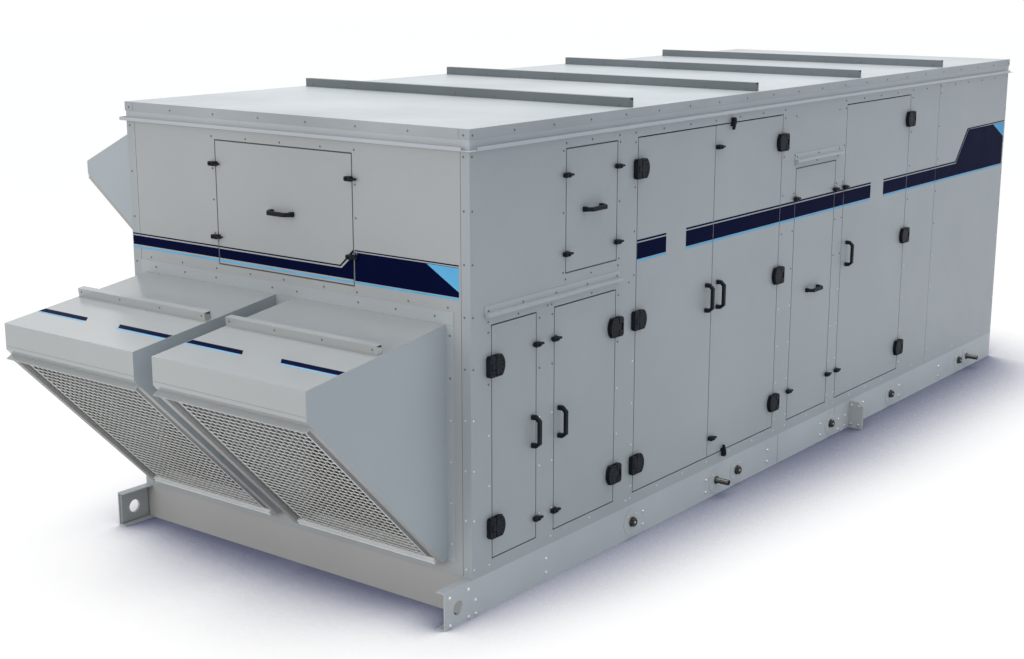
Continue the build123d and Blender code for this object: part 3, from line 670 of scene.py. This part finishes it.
# Depths of the side rails, and how far in the rail, the slot and the edge strip end
FRAME_DEPTH = 0.022
SHALLOW = 0.0045
HEM = 0.037
SLOT_END = 0.084
EDGE_END = 0.091
SLOT_FLOOR = 0.0010
STRIP = 0.0060
TOE_DEPTH = 0.024
LIP_DEPTH = 0.026


def hem_section(deep):
    """Rounded rail with a groove along it, as (w, u) points."""
    return [(0.0, 0.0), (deep - 0.002, 0.0), (deep, 0.003), (deep, 0.014), (deep - 0.0017, 0.016),
            (deep - 0.0017, 0.019), (deep, 0.021), (deep, HEM - 0.004), (deep - 0.0025, HEM - 0.001),
            (0.0, HEM)]


def screen_parts(width, slope, depths):
    """Frame, edge strips, slot floors and wires of one screen; depths are its side rails'. The edge strips
    are painted highlight and the slot floors painted shade.
    """
    rails, edges, slots, wires = Shape(), Shape(), Shape(), Shape()
    deep = FRAME_DEPTH
    edge = [(0.0, SLOT_END), (0.0045, SLOT_END), (STRIP, SLOT_END + 0.002), (STRIP, EDGE_END - 0.002),
            (0.0045, EDGE_END), (0.0, EDGE_END)]
    slot = [(0.0, HEM), (SLOT_FLOOR, HEM), (SLOT_FLOOR, SLOT_END), (0.0, SLOT_END)]
    for flip in (False, True):
        def side(points):
            return [(w, width - u) if flip else (w, u) for w, u in points]
        rails.prism(side(hem_section(depths[1] if flip else depths[0])), 0.0, slope, ALONG_V)
        # Slot floor: a thin dark sheet, painted shade
        slots.prism(side(slot), 0.006, slope, ALONG_V)
        # Edge strip: painted highlight
        edges.prism(side(edge), TOE_DEPTH, slope - 0.010, ALONG_V)
    # The toe rail is an edge strip too, in painted highlight
    toe_rail = [(0.0, 0.001), (0.0, deep), (0.004, deep), (0.007, deep - 0.003), (TOE_DEPTH, deep - 0.003),
                (TOE_DEPTH, 0.001)]
    edges.prism(toe_rail, HEM, width - HEM, ALONG_U)
    low, high = TOE_DEPTH, slope - LIP_DEPTH
    lip_rail = [(high, 0.001), (high, 0.012), (slope, 0.012), (slope, 0.001)]
    rails.prism(lip_rail, HEM, width - HEM, ALONG_U)
    rows = int((high - low) / MESH_PITCH)
    for index in range(1, rows + 1):
        v = low + (high - low) * index / (rows + 1)
        wires.rod((EDGE_END - 0.003, v, 0.0072), (width - EDGE_END + 0.003, v, 0.0072), WIRE)
    first, last = EDGE_END, width - EDGE_END
    columns = int((last - first) / MESH_PITCH)
    for index in range(1, columns + 1):
        u = first + (last - first) * index / (columns + 1)
        wires.rod((u, low, 0.0026), (u, high, 0.0026), WIRE)
    return rails, edges, slots, wires


def make_screen(name, origin, out, toe, lip, width, depths):
    """Screen between a toe and a lip, each (out, height), for a hood that faces out."""
    run = Vector(out) * (lip[0] - toe[0]) + Vector((0, 0, lip[1] - toe[1]))
    up = run.normalized()
    across = up.cross(Vector((0, 0, 1))).normalized()
    normal = across.cross(up)
    if normal.z > 0:
        normal = -normal
    place = facing(Vector(origin) + Vector(out) * toe[0] + Vector((0, 0, toe[1])), normal, up)
    parts = zip(("frame", "edges", "slots", "wires"), screen_parts(width, run.length - 0.006, depths),
                (screen_paint, screen_edge_highlight, screen_slot_shade, wire))
    for kind, shape, material in parts:
        shape.points = [place @ point for point in shape.points]
        replaced = (f"{name}_screen",) if kind == "frame" else ()
        shape.piece(f"{name}_screen_{kind}", "cabinet", material, "screen_metal",
                    smooth=kind != "slots", replaces=replaced)


for number, hood_start in enumerate(HOOD_STARTS, 1):
    make_screen(f"intake_hood_{number}", (INTAKE_X, DOOR_Y + hood_start + HOOD_WIDTH, 0), (-1, 0, 0),
                HOOD_TOE, HOOD_LIP, HOOD_WIDTH, (FRAME_DEPTH, SHALLOW))
make_screen("relief_hood", (INTAKE_X + RELIEF_START + RELIEF_WIDTH, FAR_Y, 0), (0, 1, 0),
            RELIEF_TOE, RELIEF_LIP, RELIEF_WIDTH, (FRAME_DEPTH, FRAME_DEPTH))


# Hinges, latches and handles, each with rounded edges

HINGE_HALF = 0.0525
HINGE_DEPTH = 0.028
PIN = (-0.018, 0.016)
MARK = 0.0004
HINGE_ROUND = 0.0010
GRIP_ROUND = 0.0012

# Each door: hinged side, seams, hinge heights, latch heights, place of the handle
door_rows = {
    1: ("left", 0.159, 0.518, (0.430, 1.250), (0.375, 1.291), (0.487, 0.843)),
    2: ("right", 0.670, 1.221, (0.430, 1.250), (0.375, 1.291), (0.712, 0.843)),
    3: ("left", 1.416, 2.2195, (0.430, 1.250, 2.075), (), (2.155, 1.250)),
    4: ("right", 2.2195, 3.018, (0.430, 1.250, 2.075), (), (2.282, 1.250)),
    5: ("right", 3.893, 4.884, (0.430, 1.250, 2.075), (0.461, 1.705), (3.965, 1.250)),
}


def d_outline(inset):
    """D shape from the seam to a rounded nose, as (u, v) points."""
    half = HINGE_HALF - inset
    shoulder, nose = 0.050, 0.074 - inset
    radius = (half * half + (nose - shoulder) ** 2) / (2 * (nose - shoulder))
    spread = asin(half / radius)
    arc = [(nose - radius + radius * cos(spread * t / 8), radius * sin(spread * t / 8)) for t in range(-8, 9)]
    return [(HALF_GAP, -half)] + arc + [(HALF_GAP, half)]


def hinge_leaf(shape, hole_shade, place):
    """Door half: a D plate with pockets round its curved side, a bridge and a knuckle."""
    shape.prism(d_outline(0.0), 0.0, 0.007, place)
    shape.prism(d_outline(0.006), 0.007, 0.020, place)
    shape.prism(d_outline(0.0), 0.020, HINGE_DEPTH, place)
    for low, high in ((-0.0525, -0.040), (-0.0025, 0.0025), (0.040, 0.0525)):
        nose = 0.0715 if high < 0.01 and low > -0.01 else 0.060
        shape.plate(0.030, nose, low + 0.0005, high - 0.0005, 0.0068, 0.0202, place)
    shape.plate(PIN[0], HALF_GAP + 0.001, -0.017, 0.017, 0.005, 0.0265, place)
    knuckle = [(0.0053, -0.017), (0.011, -0.017), (0.011, 0.017), (0.0053, 0.017), (0.0053, -0.017)]
    shape.turned(knuckle, place @ facing((PIN[0], 0, PIN[1]), (0, 1, 0), (0, 0, 1)), 20)
    # Painted shade: near-black discs and plates just proud of the face stand for holes and slots
    for u, v in ((0.050, 0.021), (0.056, 0.0), (0.050, -0.021)):
        hole_shade.turned(disc(0.0040, MARK), place @ Matrix.Translation((u, v, HINGE_DEPTH)))
    for u in (0.010, 0.034):
        for v in (-0.043, 0.043):
            hole_shade.plate(u - 0.003, u + 0.003, v - 0.004, v + 0.004, HINGE_DEPTH, HINGE_DEPTH + MARK, place)


def hinge_frame(shape, hole_shade, place):
    """Fixed half: two ears on a web, with the pin between them."""
    reach, tip, notch = -0.043, -0.002, 0.0185
    shape.plate(reach, -0.036, -notch, notch, 0.0, HINGE_DEPTH, place)
    for sign in (-1, 1):
        low, high = sorted((sign * notch, sign * HINGE_HALF))
        near, far = sorted((sign * notch, sign * (HINGE_HALF - 0.008)))
        shape.plate(reach + 0.006, tip, low, high, 0.0, HINGE_DEPTH, place)
        shape.plate(reach, reach + 0.007, near, far, 0.0, HINGE_DEPTH, place)
        # Painted shade: a near-black disc just proud of the ear stands for its hole
        hole_shade.turned(disc(0.0036, MARK), place @ Matrix.Translation((-0.026, sign * 0.034, HINGE_DEPTH)))
    pin = facing((PIN[0], -notch, PIN[1]), (0, 1, 0), (0, 0, 1))
    shape.turned(disc(0.005, 2 * notch), place @ pin, 16)


def latch(shape, keys, place, foot):
    """Wing latch: foot plate, body, stepped wing and a key boss."""
    shape.plate(foot[0], foot[1], -0.012, 0.012, 0.0, 0.007, place)
    body = [(-0.033, -0.008), (-0.029, -0.012), (0.008, -0.012), (0.011, -0.009), (0.011, 0.009),
            (0.008, 0.012), (-0.029, 0.012), (-0.033, 0.008)]
    shape.prism(body, 0.006, 0.026, place)
    shape.prism([(u * 0.86 - 0.0015, v * 0.80) for u, v in body], 0.0255, 0.030, place)
    shape.prism([(0.010, -0.007), (0.038, -0.005), (0.038, 0.005), (0.010, 0.007)], 0.008, 0.024, place)
    shape.prism([(0.009, -0.005), (0.026, -0.004), (0.026, 0.004), (0.009, 0.005)], 0.0235, 0.028, place)
    seat = place @ Matrix.Translation((-0.012, 0, 0.0299))
    keys.turned([(0, 0.0), (0.0058, 0.0), (0.0058, 0.0010), (0.0050, 0.0014), (0.0034, 0.0014),
                 (0.0034, MARK), (0, MARK)], seat)


def handle(shape, place):
    """Bridge handle: bar and legs in one bent section, on two foot plates."""
    outline = [(-0.085, 0.0), (-0.085, 0.028), (-0.061, 0.055), (0.061, 0.055), (0.085, 0.028), (0.085, 0.0),
               (0.063, 0.0), (0.063, 0.028), (0.053, 0.038), (-0.053, 0.038), (-0.063, 0.028), (-0.063, 0.0)]
    shape.prism(outline, -0.0105, 0.0105, place @ ALONG_U)
    for end in (-1, 1):
        low, high = sorted((end * 0.0625, end * 0.0855))
        shape.plate(-0.0125, 0.0125, low, high, 0.0, 0.020, place)


LATCH_LEFT = (-HALF_GAP - 0.014, -HALF_GAP)
LATCH_RIGHT = (HALF_GAP, HALF_GAP + 0.014)
frames = Shape()
hole_shades = Shape()
MIRROR = Matrix.Diagonal((-1, 1, 1, 1))
for number, (side, left, right, hinge_heights, latch_heights, grip) in door_rows.items():
    body = f"door_{number}_body"
    leaves, dark, fittings, keys = Shape(), Shape(), Shape(), Shape()
    for z in hinge_heights:
        place = on_door_side(left if side == "left" else right, z)
        if side == "right":
            place = place @ MIRROR
        hinge_leaf(leaves, dark, place)
        hinge_frame(frames, hole_shades, place)
    for z in latch_heights:
        seam = right if side == "left" else left
        latch(fittings, keys, on_door_side(seam, z), LATCH_LEFT if side == "left" else LATCH_RIGHT)
    if number == 4:
        for z in (0.379, 2.116):
            latch(fittings, keys, on_door_side(left + 0.0365, z), (-0.033, 0.0))
        for z, turn in ((2.241, -pi / 2), (0.266, pi / 2)):
            latch(fittings, keys, on_door_side(left + 0.1725, z) @ Matrix.Rotation(turn, 4, "Z"), LATCH_RIGHT)
    handle(fittings, on_door_side(*grip))
    leaves.piece(f"door_{number}_hinge_leaves", body, black, "black_hardware",
                 replaces=(f"door_{number}_hinges",), bevel=HINGE_ROUND)
    dark.piece(f"door_{number}_hinge_hole_shades", body, hole_shade_and_key_black, "black_hardware")
    fittings.piece(f"door_{number}_latches_and_handle", body, black, "black_hardware",
                   replaces=(f"door_{number}_fittings",), bevel=GRIP_ROUND)
    if keys.faces:
        keys.piece(f"door_{number}_latch_keys", body, hole_shade_and_key_black, "black_hardware", smooth=True)
frames.piece("hinge_frames", "cabinet", black, "black_hardware",
             replaces=("hinge_frame_halves",), bevel=HINGE_ROUND)
hole_shades.piece("hinge_frame_hole_shades", "cabinet", hole_shade_and_key_black, "black_hardware")

latches, latch_keys, grips = Shape(), Shape(), Shape()
for left, right, heights in ((0.764, 1.221, (1.711, 2.111)), (3.214, 3.757, (0.461, 1.705))):
    for z in heights:
        latch(latches, latch_keys, on_door_side(left, z), LATCH_RIGHT)
        latch(latches, latch_keys, on_door_side(right, z), LATCH_LEFT)
for z in (1.722, 2.112):
    latch(latches, latch_keys, on_intake_side(0.710, z), LATCH_RIGHT)
    latch(latches, latch_keys, on_intake_side(1.694, z), LATCH_LEFT)
for place in (on_door_side(0.9925, 1.920), on_door_side(3.4855, 1.090), on_intake_side(1.202, 1.895)):
    handle(grips, place @ Matrix.Rotation(pi / 2, 4, "Z"))
latches.piece("panel_wing_latches", "cabinet", black, "black_hardware",
              replaces=("panel_latches",), bevel=GRIP_ROUND)
latch_keys.piece("panel_latch_keys", "cabinet", hole_shade_and_key_black, "black_hardware", smooth=True)
grips.piece("panel_bridge_handles", "cabinet", black, "black_hardware",
            replaces=("panel_handles",), bevel=GRIP_ROUND)


# Pipe fittings on the rail

HEX_RADIUS = 0.0262
unions, stubs = Shape(), Shape()
for s in UNION_PLACES:
    place = on_door_side(s, FITTING_HEIGHT, SHEET)
    unions.turned([(0, 0.0), (0.0290, 0.0), (0.0290, 0.004), (0.0270, 0.006), (0, 0.006)], place, 32)
    corners = [(HEX_RADIUS * cos(pi * k / 3), HEX_RADIUS * sin(pi * k / 3)) for k in range(6)]
    unions.prism(corners, 0.005, 0.021, place)
    unions.turned([(0, 0.0208), (0.0215, 0.0208), (0.0215, 0.0225), (0.0200, 0.0240), (0.0130, 0.0240),
                   (0.0120, 0.0228), (0.0120, 0.0215), (0, 0.0215)], place, 32)
for s in STUB_PLACES:
    place = on_door_side(s, FITTING_HEIGHT, SHEET)
    stubs.turned([(0.0250, 0.0), (0.0250, 0.005), (0.0235, 0.0065), (0.0185, 0.0065), (0.0170, 0.0085),
                  (0.0170, 0.0888), (0.0162, 0.0900), (0.0138, 0.0900), (0.0130, 0.0888), (0.0130, 0.0),
                  (0.0250, 0.0)], place, 32)
plugs = Shape()
for s in UNION_PLACES:
    place = on_door_side(s, FITTING_HEIGHT, 0.0242)
    plugs.turned([(0, 0.0), (0.0065, 0.0), (0.0065, 0.0016), (0.0035, 0.0030), (0, 0.0032)], place, 16)
plugs.piece("pipe_union_plugs", "cabinet", zinc, "pipe_fitting", smooth=True)
for shape, name, node_name in ((unions, "pipe_union_fittings", "pipe_unions"),
                               (stubs, "pipe_stub_fittings", "pipe_stubs")):
    shape.piece(name, "cabinet", blackened, "pipe_fitting", smooth=True, replaces=(node_name,))


# Trim joints, creases and panel seams: dark strips of painted shade

joints = Shape()
seams = Shape()
HAIR = 0.0003
SEAM_HALF = 0.0018
SEAM_DEPTHS = (-0.004, -0.001)
SUNK = (-0.0060, -0.0012)
for place, columns in ((on_intake_side, (0.066, 2.383)), (on_rear_side, (0.055, 2.383))):
    for s in columns:
        joints.plate(-0.0012, 0.0012, WALL_FOOT, WALL_TOP - 0.001, 0.0, HAIR, place(s, 0))
for place in (on_intake_side, on_rear_side, on_door_side, on_far_side):
    run = LENGTH if place in (on_door_side, on_far_side) else WIDTH
    for s in (0.062, run - 0.062) if place is on_intake_side else (run - 0.062,):
        joints.plate(-0.0008, 0.0008, 2.352, HEIGHT - 0.002, CAP_OUT, CAP_OUT + HAIR, place(s, 0))
wall_seams = [(5.389, on_door_side)] + [(s + 0.002, on_far_side) for s in far_seams] + [(1.219, on_rear_side)]
for s, place in wall_seams:
    seams.plate(-SEAM_HALF, SEAM_HALF, WALL_FOOT, WALL_TOP - 0.001, *SEAM_DEPTHS, place(s, 0))
for s in (3.109, 3.918):
    for place in (on_door_side, on_far_side):
        seams.plate(-SEAM_HALF, SEAM_HALF, 0.001, 0.194, *SEAM_DEPTHS, place(s, 0))
for hood_start in HOOD_STARTS:
    place = facing((INTAKE_X - HOOD_REACH, DOOR_Y + hood_start, HOOD_FASCIA_FOOT), (-1, 0, 0), (0, 0, 1))
    joints.plate(-HOOD_WIDTH + 0.002, -0.002, 0.0195, 0.0207, 0.0, HAIR, place)
for place, left, right, low, high in ((on_intake_side, 0.710, 1.694, 1.575, 2.236),
                                      (on_door_side, 0.764, 1.221, 1.611, 2.241),
                                      (on_door_side, 3.214, 3.757, 0.266, 1.893)):
    for s in (left, right):
        joints.plate(-0.0014, 0.0014, low, high, *SUNK, place(s, 0))
    for z in (low, high):
        joints.plate(0.0, right - left, -0.0014, 0.0014, *SUNK, place(left, z))
joints.piece("trim_joint_shade_lines", "cabinet", joint_shade_paint, "cabinet_paint")
seams.piece("seam_shade_fillers", "cabinet", shadow_gap, "cabinet_paint")


# Floor, light and camera

FLOOR_REACH = 60.0
FLOOR_GLOW = 0.94
LAMP_SHADOW = 0.10
BOUNCE_ALBEDO = 0.80
SHADE_REACH = 1.15

# How much the painted shadow is lightened at one place along the unit and deepened at another, as (x, change)
SHADE_CHANGES = ((-3.0, 0.055), (0.2, -0.085))

# Painted shadow on the floor: its tone from under the unit to the open floor, as (openness, colour)
FLOOR_SHADOW_TONES = (
    (0.38, (0.030, 0.036, 0.085)),
    (0.50, (0.150, 0.162, 0.235)),
    (0.55, (0.235, 0.248, 0.325)),
    (0.60, (0.345, 0.355, 0.430)),
    (0.65, (0.475, 0.483, 0.550)),
    (0.70, (0.630, 0.635, 0.680)),
    (0.80, (0.860, 0.860, 0.875)),
    (0.86, (0.955, 0.955, 0.960)),
    (0.92, (1, 1, 1)),
)
FILL = (0.90, 0.97, 1.05, 1)
FILL_STRENGTH = 0.60
OVERHEAD_WATTS = 620.0
INTAKE_WATTS = 250.0


def make_stage():
    """Pale floor: for the camera it glows, with a painted shadow that darkens it near the unit, and keeps a
    share of the lamps' shadow.
    """
    mesh = bpy.data.meshes.new("floor")
    far = FLOOR_REACH
    mesh.from_pydata([(-far, -far, 0), (far, -far, 0), (far, far, 0), (-far, far, 0)], [], [(0, 1, 2, 3)])
    floor = bpy.data.objects.new("floor", mesh)
    bpy.context.scene.collection.objects.link(floor)
    floor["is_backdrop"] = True
    material = bpy.data.materials.new("floor_white")
    material.use_nodes = True
    tree = material.node_tree
    tree.nodes.clear()
    # Painted shadow: ambient occlusion, shifted along the unit, sets the tone of the floor's glow
    shade = node(tree, "ShaderNodeAmbientOcclusion", samples=12, in_Distance=SHADE_REACH).outputs["AO"]
    along = node(tree, "ShaderNodeTexCoord").outputs["Object"]
    along = node(tree, "ShaderNodeSeparateXYZ", in_Vector=along).outputs["X"]
    (x0, change0), (x1, change1) = SHADE_CHANGES
    deeper = node(tree, "ShaderNodeMapRange", in_Value=along, in_From_Min=x0, in_From_Max=x1,
                  in_To_Min=change0, in_To_Max=change1).outputs[0]
    shade = node(tree, "ShaderNodeMath", operation="ADD", in_0=shade, in_1=deeper).outputs[0]
    tone = ramp(tree, shade, *FLOOR_SHADOW_TONES)
    glow = node(tree, "ShaderNodeEmission", in_Color=tone, in_Strength=FLOOR_GLOW)
    soft = node(tree, "ShaderNodeBsdfDiffuse", in_Color=grey(LAMP_SHADOW))
    both = node(tree, "ShaderNodeAddShader", in_0=glow.outputs[0], in_1=soft.outputs[0])
    plain = node(tree, "ShaderNodeBsdfDiffuse", in_Color=grey(BOUNCE_ALBEDO))
    mix = node(tree, "ShaderNodeMixShader", in_0=seen_directly(tree), in_1=plain.outputs[0],
               in_2=both.outputs[0])
    node(tree, "ShaderNodeOutputMaterial", in_Surface=mix.outputs[0])
    mesh.materials.append(material)


def make_world():
    """White where it is looked at, and a weaker cool fill as light."""
    world = bpy.data.worlds.new("studio")
    bpy.context.scene.world = world
    world.use_nodes = True
    tree = world.node_tree
    tree.nodes.clear()
    fill = node(tree, "ShaderNodeBackground", in_Color=FILL, in_Strength=FILL_STRENGTH)
    white = node(tree, "ShaderNodeBackground", in_Color=grey(1), in_Strength=1.0)
    mix = node(tree, "ShaderNodeMixShader", in_0=seen_directly(tree), in_1=fill.outputs[0],
               in_2=white.outputs[0])
    node(tree, "ShaderNodeOutputWorld", in_Surface=mix.outputs[0])


def area_light(name, place, target, size, power, colour):
    lamp = bpy.data.lights.new(name, "AREA")
    lamp.shape = "RECTANGLE"
    lamp.size, lamp.size_y = size
    lamp.energy = power
    lamp.color = colour
    made = bpy.data.objects.new(name, lamp)
    bpy.context.scene.collection.objects.link(made)
    made.location = place
    made.rotation_mode = "QUATERNION"
    made.rotation_quaternion = (Vector(target) - Vector(place)).to_track_quat("-Z", "Y")


def make_camera():
    data = bpy.data.cameras.new("camera")
    data.lens = CAMERA_LENS
    camera = bpy.data.objects.new("camera", data)
    bpy.context.scene.collection.objects.link(camera)
    camera.location = CAMERA_PLACE
    camera.rotation_euler = [radians(a) for a in CAMERA_TURN]
    bpy.context.scene.camera = camera


make_stage()
make_world()
area_light("overhead", (0.0, 0.0, 9.0), (0, 0, 0), (10.0, 6.0), OVERHEAD_WATTS, (1.0, 1.0, 1.0))
area_light("from_intake", (-13.0, 1.5, 4.0), (-2.0, 0, 1.0), (6.0, 5.0), INTAKE_WATTS, (1.0, 0.95, 0.87))
make_camera()
bpy.context.scene.view_settings.view_transform = "Standard"

low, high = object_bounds()
